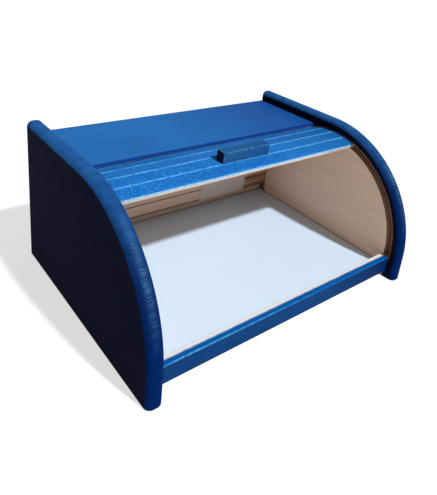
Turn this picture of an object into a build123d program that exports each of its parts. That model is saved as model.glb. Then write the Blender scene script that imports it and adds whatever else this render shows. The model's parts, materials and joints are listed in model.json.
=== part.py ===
from build123d import *
import os
from math import acos, asin, atan2, cos, degrees, hypot, radians, sin, tan

# A wooden bread bin whose lid is a tambour: a row of slats on cloth tapes that runs in curved grooves
# in the two side panels. X runs across the bin, the open front faces -Y, the back faces +Y, +Z is up.
# The origin is on the table, under the middle of the bin. Lengths are millimetres, angles degrees.

# Overall sizes
WIDTH = 390.0
DEPTH = 290.0
HEIGHT = 180.0

# Side panels: a rectangle with its top front corner rounded to a quarter circle
SIDE_THICKNESS = 18.0
SIDE_CORNER_RADIUS = 147.0
SIDE_EDGE_ROUNDING = 7.0

# Rails
FRONT_RAIL_THICKNESS = 12.0
REAR_RAIL_THICKNESS = 17.0
RAIL_BOTTOM = 9.0
RAIL_TOP = 31.0
FRONT_RAIL_SETBACK = 13.0

# Top board
TOP_BOARD_THICKNESS = 14.0
TOP_BOARD_DROP = 15.0        # from the top of the side panels to the board's upper face
TOP_BOARD_BEHIND_AXIS = 36.0   # from the lid's axis back to the board's front edge
LID_CLEARANCE = 0.8          # between the lid's outer face and the board's hollowed underside

# Thin panels, held in grooves
FLOOR_THICKNESS = 4.0
FLOOR_TOP = 17.0
BACK_THICKNESS = 4.0
BACK_SETBACK = 13.0
REAR_RAIL_COVER = 4.5        # how far the rear rail's face stands inside the back panel's
PANEL_LAP = 6.0              # how far a thin panel enters its grooves
PANEL_PLAY = 0.2             # between a thin panel's edge and the bottom of its groove

# The groove that the lid runs in: one circle, as deep as the space between the two rails' faces
GROOVE_WIDTH = 8.8
GROOVE_DEPTH = 8.0
GROOVE_PROUD = 0.3           # its outer wall stands this far past the front rail's and top board's faces
GROOVE_REAR_WALL = 1.2       # from its outer wall to the rear rail's face
SLAT_PLAY = 0.6              # between a slat and either wall of the groove
SLAT_FLAT_PLAY = 0.3         # more of it outside, where a flat slat's corners stand out
SLAT_END_PLAY = 1.0          # between a slat's end and the bottom of the groove

# Lid: angles are about the lid's axis, from +Y towards +Z, with the lid open
FRONT_SLAT_FACES = 103.24    # the way that the front slat's flat faces look
FRONT_SLAT_REACH = 7.2       # from there forward to the tip of its inner face
NOSE_CHAMFER_LENGTH = 1.6
NOSE_CHAMFER_HEIGHT = 4.5
SLAT_COUNT = 13              # the front slat and the equal ones behind it
SLAT_GAP = 0.15              # half of the gap between two slats
SLAT_CHAMFER = 1.4           # the V between two slats
LID_REST_GAP = 0.3           # between the closed lid and the front rail
TAIL_LAP = 0.6               # how far the closed lid's last slat reaches under the top board
TAIL_STOP_GAP = 0.4          # between the open lid's last slat and the end of the groove

# Cloth tapes glued inside the slats
TAPE_THICKNESS = 0.8
TAPE_GLUE = 0.02             # between a tape and the slats
TAPE_WIDTH = 85.0
TAPE_RIGHT_X = 87.5
TAPE_LEFT_X = -122.5
TAPE_FROM_NOSE = 2.0         # from the tape's front end to the tip of the front slat

# Handle, a block screwed on from inside
HANDLE_LENGTH = 70.0
HANDLE_DEPTH = 13.5
HANDLE_HEIGHT = 13.5
HANDLE_EDGE_ROUNDING = 0.8
SCREW_SPACING = 40.0
SCREW_RADIUS = 1.75
SCREW_HEAD_RADIUS = 3.5
SCREW_LENGTH = 17.0
SCREW_END_PLAY = 1.0
SCREW_FIT = 0.03             # between a screw and its hole

# Dowels
DOWEL_RADIUS = 3.0
DOWEL_LENGTH = 30.0
DOWEL_IN_SIDE = 12.0
DOWEL_FIT = 0.03             # between a dowel and its hole
DOWEL_END_PLAY = 1.0
BOARD_DOWEL_FROM_FRONT = 40.0
BOARD_DOWEL_FROM_BACK = 20.0

# Worked out from the sizes above: fixed boards
HALF_DEPTH = DEPTH / 2
INNER_X = WIDTH / 2 - SIDE_THICKNESS
TOP_BOARD_TOP = HEIGHT - TOP_BOARD_DROP
TOP_BOARD_BOTTOM = TOP_BOARD_TOP - TOP_BOARD_THICKNESS
BACK_REAR = HALF_DEPTH - BACK_SETBACK
BACK_FRONT = BACK_REAR - BACK_THICKNESS
REAR_RAIL_FRONT = BACK_FRONT - REAR_RAIL_COVER
REAR_RAIL_BACK = REAR_RAIL_FRONT + REAR_RAIL_THICKNESS
FRONT_RAIL_FRONT = -HALF_DEPTH + FRONT_RAIL_SETBACK
FRONT_RAIL_BACK = FRONT_RAIL_FRONT + FRONT_RAIL_THICKNESS

# Worked out: the groove and the lid's axis
GROOVE_FRONT = FRONT_RAIL_FRONT - GROOVE_PROUD
GROOVE_OUTER_RADIUS = (REAR_RAIL_FRONT - GROOVE_REAR_WALL - GROOVE_FRONT) / 2
GROOVE_INNER_RADIUS = GROOVE_OUTER_RADIUS - GROOVE_WIDTH
LID_AXIS_Y = GROOVE_FRONT + GROOVE_OUTER_RADIUS
LID_AXIS_Z = TOP_BOARD_TOP + GROOVE_PROUD - GROOVE_OUTER_RADIUS
TOP_BOARD_FRONT = LID_AXIS_Y + TOP_BOARD_BEHIND_AXIS

# Worked out: the slats. The lid closes until the front slat's tip is down on the front rail.
SLAT_INNER = GROOVE_INNER_RADIUS + SLAT_PLAY
SLAT_OUTER = GROOVE_OUTER_RADIUS - SLAT_PLAY - SLAT_FLAT_PLAY
SLAT_HALF_LENGTH = INNER_X + GROOVE_DEPTH - SLAT_END_PLAY
TIP_BELOW_AXIS = LID_AXIS_Z - RAIL_TOP - LID_REST_GAP
TIP_RADIUS = hypot(SLAT_INNER, FRONT_SLAT_REACH)
TIP_LEAD = degrees(atan2(FRONT_SLAT_REACH, SLAT_INNER))
FRONT_SLAT_CLOSED = 180 + degrees(asin(TIP_BELOW_AXIS / TIP_RADIUS)) - TIP_LEAD
LID_TRAVEL = FRONT_SLAT_CLOSED - FRONT_SLAT_FACES
TAIL_CLOSED = degrees(acos((TOP_BOARD_BEHIND_AXIS + TAIL_LAP) / SLAT_OUTER))
TAIL_END = TAIL_CLOSED - LID_TRAVEL
PITCH = (FRONT_SLAT_FACES - TAIL_END) / (SLAT_COUNT - 0.5)
print(f"lid axis y {LID_AXIS_Y:.3f} z {LID_AXIS_Z:.3f}, travel {LID_TRAVEL:.3f}, pitch {PITCH:.3f} degrees")


def block(x0, x1, y0, y1, z0, z1):
    """A box between two corners."""
    return Pos((x0 + x1) / 2, (y0 + y1) / 2, (z0 + z1) / 2) * Box(x1 - x0, y1 - y0, z1 - z0)


def profile_prism(face_yz, x0, x1):
    """A face drawn as (Y, Z) on the bin's side plane, drawn out from x0 to x1."""
    return Pos(x0, 0, 0) * extrude(Plane.YZ * face_yz, amount=x1 - x0)


def cross_rod(radius, y, z, x0, x1):
    """A round rod along X."""
    return profile_prism(Pos(y, z) * Circle(radius), x0, x1)


def side_outline():
    """The panel's outline, its top front corner rounded."""
    front, back = -HALF_DEPTH, HALF_DEPTH
    arc_bottom = HEIGHT - SIDE_CORNER_RADIUS
    edges = [
        Line((front, 0), (front, arc_bottom)),
        RadiusArc((front, arc_bottom), (front + SIDE_CORNER_RADIUS, HEIGHT), SIDE_CORNER_RADIUS),
        Line((front + SIDE_CORNER_RADIUS, HEIGHT), (back, HEIGHT)),
        Line((back, HEIGHT), (back, 0)),
        Line((back, 0), (front, 0)),
    ]
    return make_face(edges)


def lid_groove():
    """The curved track's outline: from behind the front rail, over the top and down the back."""
    ring = Circle(GROOVE_OUTER_RADIUS) - Circle(GROOVE_INNER_RADIUS)
    end_angle = radians(TAIL_END) - TAIL_STOP_GAP / GROOVE_INNER_RADIUS
    far = 3 * GROOVE_OUTER_RADIUS
    wedge = Polygon(
        (0, 0), (far * cos(end_angle), far * sin(end_angle)), (far, far), (-far, far),
        (-far, RAIL_TOP - LID_AXIS_Z), (0, RAIL_TOP - LID_AXIS_Z), align=None,
    )
    return Pos(LID_AXIS_Y, LID_AXIS_Z) * (ring & wedge)


def panel_slot(y0, y1, z0, z1):
    """A groove for a thin panel in the right side panel."""
    return block(INNER_X, INNER_X + PANEL_LAP + PANEL_PLAY, y0, y1, z0, z1)


def is_shown_edge(edge):
    """True for the edges along the panel's front and top, which are rounded; the others stay square."""
    low, high = edge.bounding_box().min, edge.bounding_box().max
    lies_along_panel = high.X - low.X < SIDE_THICKNESS / 2
    at_bottom = high.Z < SIDE_EDGE_ROUNDING
    at_back = low.Y > HALF_DEPTH - SIDE_EDGE_ROUNDING
    return lies_along_panel and not at_bottom and not at_back


def right_panel():
    """The right side panel with its grooves and blind dowel holes."""
    panel = profile_prism(side_outline(), INNER_X, WIDTH / 2)
    panel = fillet([edge for edge in panel.edges() if is_shown_edge(edge)], SIDE_EDGE_ROUNDING)
    panel -= profile_prism(lid_groove(), INNER_X, INNER_X + GROOVE_DEPTH)
    lap = PANEL_LAP + PANEL_PLAY
    panel -= panel_slot(FRONT_RAIL_BACK - lap, REAR_RAIL_FRONT + lap, FLOOR_TOP - FLOOR_THICKNESS, FLOOR_TOP)
    panel -= panel_slot(BACK_FRONT, BACK_REAR, RAIL_TOP - lap, TOP_BOARD_BOTTOM + lap)
    for y, z in [front_rail_dowel(), rear_rail_dowel(), *top_board_dowels()]:
        panel -= cross_rod(DOWEL_RADIUS + DOWEL_FIT, y, z, INNER_X, INNER_X + DOWEL_IN_SIDE + DOWEL_END_PLAY)
    return panel


def front_rail_dowel():
    """Where the front rail's dowels cross into a side panel, as (Y, Z): above the floor's groove."""
    return (FRONT_RAIL_FRONT + FRONT_RAIL_BACK) / 2, (FLOOR_TOP + RAIL_TOP) / 2


def rear_rail_dowel():
    """The same for the rear rail: between the floor's groove and the back panel's."""
    return (REAR_RAIL_FRONT + REAR_RAIL_BACK) / 2, (FLOOR_TOP + RAIL_TOP - PANEL_LAP) / 2


def top_board_dowels():
    """The same for the top board, two to each end."""
    middle = (TOP_BOARD_TOP + TOP_BOARD_BOTTOM) / 2
    return [(TOP_BOARD_FRONT + BOARD_DOWEL_FROM_FRONT, middle), (BACK_FRONT - BOARD_DOWEL_FROM_BACK, middle)]


def mirrored(shape):
    """The same piece on the other side of the bin."""
    return mirror(shape, about=Plane.YZ)


def dowels(places):
    """Both ends' dowels at the given places."""
    x0 = INNER_X + DOWEL_IN_SIDE - DOWEL_LENGTH
    right = [cross_rod(DOWEL_RADIUS, y, z, x0, x0 + DOWEL_LENGTH) for y, z in places]
    return right + [mirrored(rod) for rod in right]


def drilled(board, places):
    """A crosswise board with dowel holes in both ends."""
    depth = DOWEL_LENGTH - DOWEL_IN_SIDE + DOWEL_END_PLAY
    for y, z in places:
        hole = cross_rod(DOWEL_RADIUS + DOWEL_FIT, y, z, INNER_X - depth, INNER_X)
        board = board - hole - mirrored(hole)
    return board


def front_rail():
    """The low rail under the lid, grooved for the floor."""
    rail = block(-INNER_X, INNER_X, FRONT_RAIL_FRONT, FRONT_RAIL_BACK, RAIL_BOTTOM, RAIL_TOP)
    lap = PANEL_LAP + PANEL_PLAY
    rail -= block(-INNER_X, INNER_X, FRONT_RAIL_BACK - lap, FRONT_RAIL_BACK,
                  FLOOR_TOP - FLOOR_THICKNESS, FLOOR_TOP)
    return drilled(rail, [front_rail_dowel()])


def rear_rail():
    """The rail behind the floor, grooved for the floor and for the back panel."""
    rail = block(-INNER_X, INNER_X, REAR_RAIL_FRONT, REAR_RAIL_BACK, RAIL_BOTTOM, RAIL_TOP)
    lap = PANEL_LAP + PANEL_PLAY
    rail -= block(-INNER_X, INNER_X, REAR_RAIL_FRONT, REAR_RAIL_FRONT + lap,
                  FLOOR_TOP - FLOOR_THICKNESS, FLOOR_TOP)
    rail -= block(-INNER_X, INNER_X, BACK_FRONT, BACK_REAR, RAIL_TOP - lap, RAIL_TOP)
    return drilled(rail, [rear_rail_dowel()])


def top_board():
    """The fixed board behind the lid, hollowed under its front edge to let the lid pass."""
    board = block(-INNER_X, INNER_X, TOP_BOARD_FRONT, HALF_DEPTH, TOP_BOARD_BOTTOM, TOP_BOARD_TOP)
    board -= cross_rod(GROOVE_OUTER_RADIUS - SLAT_PLAY + LID_CLEARANCE, LID_AXIS_Y, LID_AXIS_Z,
                       -INNER_X, INNER_X)
    board -= block(-INNER_X, INNER_X, BACK_FRONT, BACK_REAR,
                   TOP_BOARD_BOTTOM, TOP_BOARD_BOTTOM + PANEL_LAP + PANEL_PLAY)
    return drilled(board, top_board_dowels())


def floor_panel():
    """The thin floor, held in grooves all round."""
    reach = INNER_X + PANEL_LAP
    return block(-reach, reach, FRONT_RAIL_BACK - PANEL_LAP, REAR_RAIL_FRONT + PANEL_LAP,
                 FLOOR_TOP - FLOOR_THICKNESS, FLOOR_TOP)


def back_panel():
    """The thin back behind the lid's track, held in grooves all round."""
    reach = INNER_X + PANEL_LAP
    return block(-reach, reach, BACK_FRONT, BACK_REAR,
                 RAIL_TOP - PANEL_LAP, TOP_BOARD_BOTTOM + PANEL_LAP)


def slat_faces(number):
    """The angle about the lid's axis that a slat's flat faces look; slat 1 is the front one."""
    return FRONT_SLAT_FACES - PITCH * (number - 1)


def place_on_lid(fwd, out, number):
    """A point given as (forward, outward) of a slat, as (Y, Z) of the bin."""
    angle = radians(slat_faces(number))
    y = LID_AXIS_Y + out * cos(angle) - fwd * sin(angle)
    z = LID_AXIS_Z + out * sin(angle) + fwd * cos(angle)
    return (y, z)


def lid_prism(points, number, x0, x1):
    """A section given as (forward, outward) points of a slat, drawn out along X."""
    placed = [place_on_lid(fwd, out, number) for fwd, out in points]
    return profile_prism(Polygon(*placed, align=None), x0, x1)


def rear_edge(out):
    """How far a slat reaches back from its middle, at a distance out from the lid's axis."""
    return -out * tan(radians(PITCH / 2)) + SLAT_GAP


def nose_edge(out):
    """How far the front slat reaches forward: its edge is level on the rail when the lid is down."""
    closed = radians(FRONT_SLAT_CLOSED)
    return (-TIP_BELOW_AXIS - out * sin(closed)) / cos(closed)


def slat(number):
    """One slat, with its outer corners chamfered; the front one has a bevelled nose."""
    shoulder = SLAT_OUTER - SLAT_CHAMFER
    back = [
        (rear_edge(SLAT_INNER), SLAT_INNER),
        (rear_edge(shoulder), shoulder),
        (rear_edge(SLAT_OUTER) + SLAT_CHAMFER, SLAT_OUTER),
    ]
    if number == 1:
        brow = SLAT_OUTER - NOSE_CHAMFER_HEIGHT
        front = [
            (nose_edge(SLAT_OUTER) - NOSE_CHAMFER_LENGTH, SLAT_OUTER),
            (nose_edge(brow), brow),
            (nose_edge(SLAT_INNER), SLAT_INNER),
        ]
    else:
        front = [(-fwd, out) for fwd, out in reversed(back)]
    return lid_prism(back + front, number, -SLAT_HALF_LENGTH, SLAT_HALF_LENGTH)


def tape_face(out):
    """One face of a tape as (Y, Z) points: a crease where each slat meets the next."""
    points = [place_on_lid(-out * tan(radians(PITCH / 2)), out, SLAT_COUNT)]
    for number in range(SLAT_COUNT, 1, -1):
        points.append(place_on_lid(out * tan(radians(PITCH / 2)), out, number))
    return points + [place_on_lid(nose_edge(out) - TAPE_FROM_NOSE, out, 1)]


def tape(middle_x):
    """A cloth tape glued along the inside of every slat."""
    glued = SLAT_INNER - TAPE_GLUE
    outline = tape_face(glued) + tape_face(glued - TAPE_THICKNESS)[::-1]
    return profile_prism(Polygon(*outline, align=None), middle_x - TAPE_WIDTH / 2, middle_x + TAPE_WIDTH / 2)


def on_handle_slat(shape):
    """Moves a shape made at the origin, +Z outwards and -Y forwards, to the outside of the second slat."""
    turn = slat_faces(2) - 90
    return Pos(0, LID_AXIS_Y, LID_AXIS_Z) * Rot(turn, 0, 0) * Pos(0, 0, SLAT_OUTER) * shape


def screw_xs():
    return (-SCREW_SPACING / 2, SCREW_SPACING / 2)


def handle_middle():
    """The handle's front face stands at the front edge of its slat."""
    return rear_edge(SLAT_OUTER) + HANDLE_DEPTH / 2


def handle():
    """The block on the second slat, with pilot holes for its screws."""
    grip = Pos(0, handle_middle(), HANDLE_HEIGHT / 2) * Box(HANDLE_LENGTH, HANDLE_DEPTH, HANDLE_HEIGHT)
    edges = [edge for edge in grip.edges() if edge.center().Z > 0.01]
    grip = fillet(edges, HANDLE_EDGE_ROUNDING)
    bite = SCREW_LENGTH - (SLAT_OUTER - SLAT_INNER) + SCREW_END_PLAY
    for x in screw_xs():
        grip -= Pos(x, handle_middle(), bite / 2) * Cylinder(SCREW_RADIUS + SCREW_FIT, bite)
    return on_handle_slat(grip)


def screw_shape(x, fit):
    """A countersunk screw from inside the slat, or with a fit added, the hole that it needs."""
    thickness = SLAT_OUTER - SLAT_INNER
    cone = SCREW_HEAD_RADIUS - SCREW_RADIUS
    length = SCREW_LENGTH - cone
    shank = Pos(0, 0, cone + length / 2) * Cylinder(SCREW_RADIUS + fit, length)
    head = Pos(0, 0, cone / 2) * Cone(SCREW_HEAD_RADIUS + fit, SCREW_RADIUS + fit, cone)
    return Pos(x, handle_middle(), -thickness) * (head + shank)


def handle_slat():
    """The second slat, drilled and countersunk for the handle's screws."""
    drilled_slat = slat(2)
    for x in screw_xs():
        drilled_slat -= on_handle_slat(screw_shape(x, SCREW_FIT))
    return drilled_slat


def handle_screws():
    return [on_handle_slat(screw_shape(x, 0)) for x in screw_xs()]


def write(name, shape):
    if isinstance(shape, list):
        shape = Compound(children=shape)
    export_step(shape, f"parts/{name}.step")


os.makedirs("parts", exist_ok=True)

write("right_side", right_panel())
write("left_side", mirrored(right_panel()))
write("top_board", top_board())
write("front_rail", front_rail())
write("rear_rail", rear_rail())
write("floor_panel", floor_panel())
write("back_panel", back_panel())
write("front_rail_dowels", dowels([front_rail_dowel()]))
write("rear_rail_dowels", dowels([rear_rail_dowel()]))
write("top_board_dowels", dowels(top_board_dowels()))
write("slat_01_front", slat(1))
write("slat_02", handle_slat())
for number in range(3, SLAT_COUNT + 1):
    write(f"slat_{number:02d}", slat(number))
write("tape_right", tape(TAPE_RIGHT_X))
write("tape_left", tape(TAPE_LEFT_X))
write("handle", handle())
write("handle_screws", handle_screws())
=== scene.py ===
"""A roll-top bread bin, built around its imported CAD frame."""

import json
import math

import bmesh
import bpy
from mathutils import Matrix, Vector


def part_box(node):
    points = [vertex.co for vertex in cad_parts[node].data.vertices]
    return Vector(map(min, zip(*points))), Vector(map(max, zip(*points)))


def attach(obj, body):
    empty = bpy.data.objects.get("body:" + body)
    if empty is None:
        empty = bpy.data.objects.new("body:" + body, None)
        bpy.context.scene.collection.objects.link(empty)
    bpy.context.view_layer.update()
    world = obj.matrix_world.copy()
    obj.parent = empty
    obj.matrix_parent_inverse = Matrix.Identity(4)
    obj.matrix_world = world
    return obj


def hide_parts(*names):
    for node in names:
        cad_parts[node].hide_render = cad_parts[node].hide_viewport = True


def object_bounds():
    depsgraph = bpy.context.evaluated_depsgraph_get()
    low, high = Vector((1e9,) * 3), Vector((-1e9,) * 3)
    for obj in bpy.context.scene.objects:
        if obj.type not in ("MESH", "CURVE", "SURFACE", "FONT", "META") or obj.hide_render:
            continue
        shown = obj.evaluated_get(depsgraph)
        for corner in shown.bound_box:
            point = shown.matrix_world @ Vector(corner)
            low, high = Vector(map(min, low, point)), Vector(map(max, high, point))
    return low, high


bl_info = {
    "name": "Roll-top bread bin",
    "version": (1, 0, 0),
    "blender": (4, 5, 0),
    "location": "View3D > Sidebar > Bread bin",
    "description": "Models a stained wooden bread bin with a tambour lid, piece by piece",
    "category": "Object",
}

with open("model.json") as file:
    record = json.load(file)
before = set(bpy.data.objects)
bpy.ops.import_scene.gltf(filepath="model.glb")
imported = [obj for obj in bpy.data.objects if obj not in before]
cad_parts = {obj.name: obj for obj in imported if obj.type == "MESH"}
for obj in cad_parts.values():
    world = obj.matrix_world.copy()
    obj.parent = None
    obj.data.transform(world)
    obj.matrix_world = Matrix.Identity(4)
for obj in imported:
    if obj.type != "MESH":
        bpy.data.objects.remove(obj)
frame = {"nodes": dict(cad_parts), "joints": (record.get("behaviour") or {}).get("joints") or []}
CAD_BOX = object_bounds()
CARCASS = "carcass"
LID = "roll_lid"
AXIS = Vector(frame["joints"][0]["pos_m"])
LID_TRAVEL = math.radians(frame["joints"][0]["range_deg"][1])
MM = 0.001
SLAT_HALF_GAP = 0.15 * MM
GROUND_GLOW = 0.64
ROD_SIDES = 32  # with fewer, cutting the dowel holes leaves gaps in the rails and side panels


# Where things are, read from the frame

def polar(point):
    """A point's distance from the lid's axis and its angle about it, from +Y towards +Z."""
    return math.hypot(point.y - AXIS.y, point.z - AXIS.z), math.atan2(point.z - AXIS.z, point.y - AXIS.y)


def slat_node(number):
    return "slat_01_front" if number == 1 else f"slat_{number:02d}"


def slat_span(number):
    """The lowest and highest angle that a slat covers."""
    angles = [polar(v.co)[1] for v in frame["nodes"][slat_node(number)].data.vertices]
    return min(angles), max(angles)


SLAT_COUNT = sum(1 for name in frame["nodes"] if name.startswith("slat_"))
TAIL_LOW, TAIL_HIGH = slat_span(SLAT_COUNT)
NEXT_LOW, NEXT_HIGH = slat_span(SLAT_COUNT - 1)
PITCH = NEXT_LOW - TAIL_LOW
TAIL_MIDDLE = (TAIL_LOW + TAIL_HIGH) / 2
LID_REARMOST = TAIL_MIDDLE - PITCH / 2
FRONT_SLAT_START = LID_REARMOST + PITCH * (SLAT_COUNT - 1)


def slat_faces(number):
    """The angle that a slat's flat faces look."""
    return TAIL_MIDDLE + PITCH * (SLAT_COUNT - number)


def lying_on_top(node, number):
    """A node's box when the lid is turned so that a slat's outer face is uppermost."""
    back = Matrix.Rotation(math.pi / 2 - slat_faces(number), 3, "X")
    points = [back @ (v.co - AXIS) + AXIS for v in frame["nodes"][node].data.vertices]
    return (Vector(min(p[i] for p in points) for i in range(3)),
            Vector(max(p[i] for p in points) for i in range(3)))


def slat_depths():
    """The distances of a slat's inner and outer faces from the lid's axis."""
    tail = frame["nodes"][slat_node(SLAT_COUNT)].data.vertices
    outs = [polar(v.co)[0] * math.cos(polar(v.co)[1] - TAIL_MIDDLE) for v in tail]
    return min(outs), max(outs)


SLAT_INNER, SLAT_OUTER = slat_depths()


class BreadBinSizes(bpy.types.PropertyGroup):
    """Sizes of the rounding and small detail that the frame doesn't hold."""

    corner_radius: bpy.props.FloatProperty(
        name="Corner radius", description="Radius of a side panel's top front corner",
        default=147 * MM, unit="LENGTH")
    edge_rounding: bpy.props.FloatProperty(
        name="Edge rounding", description="Radius along the front and top edges of the side panels",
        default=7 * MM, unit="LENGTH")
    groove_width: bpy.props.FloatProperty(
        name="Groove width", description="Width of the groove that the slats run in",
        default=8.8 * MM, unit="LENGTH")
    groove_depth: bpy.props.FloatProperty(
        name="Groove depth", description="Depth of the groove that the slats run in",
        default=8 * MM, unit="LENGTH")
    slat_play: bpy.props.FloatProperty(
        name="Slat play", description="Space between a slat's inner face and the groove's wall",
        default=0.6 * MM, unit="LENGTH")
    slat_chamfer: bpy.props.FloatProperty(
        name="Slat chamfer", description="Half of the V between two slats",
        default=1.4 * MM, unit="LENGTH")
    nose_height: bpy.props.FloatProperty(
        name="Nose height", description="Height of the bevel along the front slat's nose",
        default=4.5 * MM, unit="LENGTH")
    nose_length: bpy.props.FloatProperty(
        name="Nose length", description="Length of the bevel along the front slat's nose",
        default=1.6 * MM, unit="LENGTH")
    tape_thickness: bpy.props.FloatProperty(
        name="Tape thickness", description="Thickness of the canvas tapes",
        default=0.8 * MM, unit="LENGTH")
    handle_rounding: bpy.props.FloatProperty(
        name="Handle rounding", description="Radius along the handle's edges",
        default=0.8 * MM, unit="LENGTH")
    screw_radius: bpy.props.FloatProperty(
        name="Screw radius", description="Radius of a handle screw's shank; its head is twice as wide",
        default=1.75 * MM, unit="LENGTH")
    softening: bpy.props.FloatProperty(
        name="Sanded edge", description="Radius of a sanded edge",
        default=0.5 * MM, unit="LENGTH")
    cove_gap: bpy.props.FloatProperty(
        name="Cove gap", description="Space between the lid and the hollow under the top board",
        default=1.1 * MM, unit="LENGTH")


def colour(name, description, value):
    return bpy.props.FloatVectorProperty(
        name=name, description=description, default=value, size=3, subtype="COLOR", min=0, max=1)


class BreadBinColours(bpy.types.PropertyGroup):
    """Colours of the stains, the bare wood and the rest."""

    side_stain: colour("Side stain", "Stain on the front edges of the side panels", (0.0004, 0.0140, 0.0950))
    edge_stain: colour("Edge stain", "Stain on the top edges of the side panels", (0.018, 0.110, 0.330))
    # the ray colour also paints the highlight half way up the curve of the side panels' edges
    ray_stain_and_highlight: colour("Ray stain", "Stain on the hard rays of the edges", (0.160, 0.420, 0.680))
    # painted shade: the broad faces' stain is darkened to near-black to stand in for the shade they lie in
    face_stain_and_shade: colour("Face stain", "Stain on the broad faces of the side panels", (0.0055, 0.0052, 0.0165))
    rail_stain: colour("Rail stain", "Stain on the front rail", (0.003, 0.034, 0.135))
    board_stain: colour("Board stain", "Stain on the top board", (0.010, 0.130, 0.400))
    deep_stain: colour("Deep stain", "Stain where it was laid on thick", (0.004, 0.035, 0.220))
    slat_stain: colour("Slat stain", "Stain on the slats", (0.001, 0.128, 0.465))
    # this pale stain serves both as rubbed flecks and as a painted highlight along the rail's top front edge, the
    # V between slats and the handle's edges
    rubbed_stain_and_highlight: colour("Rubbed stain", "Stain where an edge is rubbed thin", (0.170, 0.520, 0.780))
    handle_stain: colour("Handle stain", "Stain on the handle", (0.012, 0.085, 0.215))
    bare_wood: colour("Bare wood", "Unstained beech", (0.800, 0.600, 0.460))
    # dark brown wood for the groove and the joints; it also serves as painted shade in the groove, along the
    # groove's inner rim and along the tail's lower end
    dark_wood_and_shade: colour("Groove wood", "Wood rubbed dark in the groove", (0.260, 0.090, 0.038))
    floor_white: colour("Floor white", "The floor panel's white face", (0.640, 0.755, 0.880))
    tape_cloth: colour("Tape cloth", "Canvas of the tapes", (0.840, 0.740, 0.700))
    screw_metal: colour("Screw metal", "Zinc plated screws", (0.620, 0.600, 0.560))
    # painted glints: bright flecks along the lower edge of the nose
    nose_glint: colour("Sparkle stain", "Flecks along the lower edge of the nose", (0.400, 0.700, 0.850))
    # the handle ends' near-black is partly end grain drinking stain and partly painted shade
    end_stain_and_shade: colour("End stain", "Stain that the handle's end grain drinks", (0.002, 0.007, 0.032))
    # the rail's bare strip is blended to pale grey, partly wood gone grey and partly painted light from the key
    # falling on the rail's top
    pale_rail_strip: colour("Worn rail", "Raw strip on the front rail, gone grey", (0.680, 0.710, 0.740))
    orange_wood: colour("Orange wood", "Streaks at the right end of the slats", (0.260, 0.085, 0.030))
    ground: colour("Ground", "The floor that the bin stands on", (0.400, 0.400, 0.400))


def sizes():
    return bpy.context.scene.bread_bin_sizes


def colours():
    return bpy.context.scene.bread_bin_colours


# Modelling steps

def deselect():
    for item in bpy.context.selected_objects:
        item.select_set(False)


def activate(piece):
    deselect()
    piece.select_set(True)
    bpy.context.view_layer.objects.active = piece


def settle(piece):
    """Puts the piece's place, turn and size into its mesh."""
    activate(piece)
    bpy.ops.object.transform_apply(location=True, rotation=True, scale=True)


def block(name, low, high):
    """A box between two corners."""
    low, high = Vector(low), Vector(high)
    deselect()
    bpy.ops.mesh.primitive_cube_add(size=1, location=(low + high) / 2)
    piece = bpy.context.active_object
    piece.name = piece.data.name = name
    piece.scale = high - low
    settle(piece)
    return piece


def rod(name, radius, low_x, high_x, y, z, sides=ROD_SIDES):
    """A round rod along X."""
    deselect()
    bpy.ops.mesh.primitive_cylinder_add(
        vertices=sides, radius=radius, depth=high_x - low_x,
        location=((low_x + high_x) / 2, y, z), rotation=(0, math.pi / 2, 0))
    piece = bpy.context.active_object
    piece.name = piece.data.name = name
    settle(piece)
    return piece


def edit(piece, kind, chosen):
    """Enters edit mode with the vertices, edges or faces that a test picks selected."""
    activate(piece)
    bpy.ops.object.mode_set(mode="EDIT")
    bpy.ops.mesh.select_mode(type=kind)
    bpy.ops.mesh.select_all(action="DESELECT")
    mesh = bmesh.from_edit_mesh(piece.data)
    for part in {"VERT": mesh.verts, "EDGE": mesh.edges, "FACE": mesh.faces}[kind]:
        if chosen(part):
            part.select_set(True)
    mesh.select_flush_mode()
    bmesh.update_edit_mesh(piece.data)


def leave_edit():
    bpy.ops.object.mode_set(mode="OBJECT")


def round_edges(piece, chosen, radius, segments):
    edit(piece, "EDGE", chosen)
    bpy.ops.mesh.bevel(offset=radius, segments=segments, profile=0.5, affect="EDGES", clamp_overlap=False)
    leave_edit()


def cut(piece, *cutters):
    """Cuts the cutters out of the piece."""
    for cutter in cutters:
        activate(piece)
        modifier = piece.modifiers.new("cut", "BOOLEAN")
        modifier.operation = "DIFFERENCE"
        modifier.solver = "EXACT"
        modifier.object = cutter
        bpy.ops.object.modifier_apply(modifier=modifier.name)
        bpy.data.objects.remove(cutter)
    tidy_mesh(piece)


def tidy_mesh(piece):
    """Merges doubled points and turns every face outwards."""
    edit(piece, "VERT", lambda vertex: True)
    bpy.ops.mesh.remove_doubles(threshold=0.01 * MM)
    bpy.ops.mesh.normals_make_consistent(inside=False)
    leave_edit()


def soften(piece, radius, segments=2, sharper_than=40):
    """Sands every sharp edge, then shades the piece smooth between them."""
    activate(piece)
    modifier = piece.modifiers.new("sanded", "BEVEL")
    modifier.width = radius
    modifier.segments = segments
    modifier.limit_method = "ANGLE"
    modifier.angle_limit = math.radians(sharper_than)
    modifier.use_clamp_overlap = True
    bpy.ops.object.modifier_apply(modifier=modifier.name)
    flat_shaded(piece, sharper_than)


def flat_shaded(piece, sharper_than):
    """Smooth shading over the rounded edges that leaves the large faces flat."""
    activate(piece)
    bpy.ops.object.shade_smooth_by_angle(angle=math.radians(sharper_than))
    modifier = piece.modifiers.new("flats", "WEIGHTED_NORMAL")
    modifier.keep_sharp = True
    bpy.ops.object.modifier_apply(modifier=modifier.name)


def copy_of(piece, name):
    """A copy with a mesh of its own."""
    twin = piece.copy()
    twin.data = piece.data.copy()
    twin.name = twin.data.name = name
    bpy.context.scene.collection.objects.link(twin)
    return twin


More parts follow.
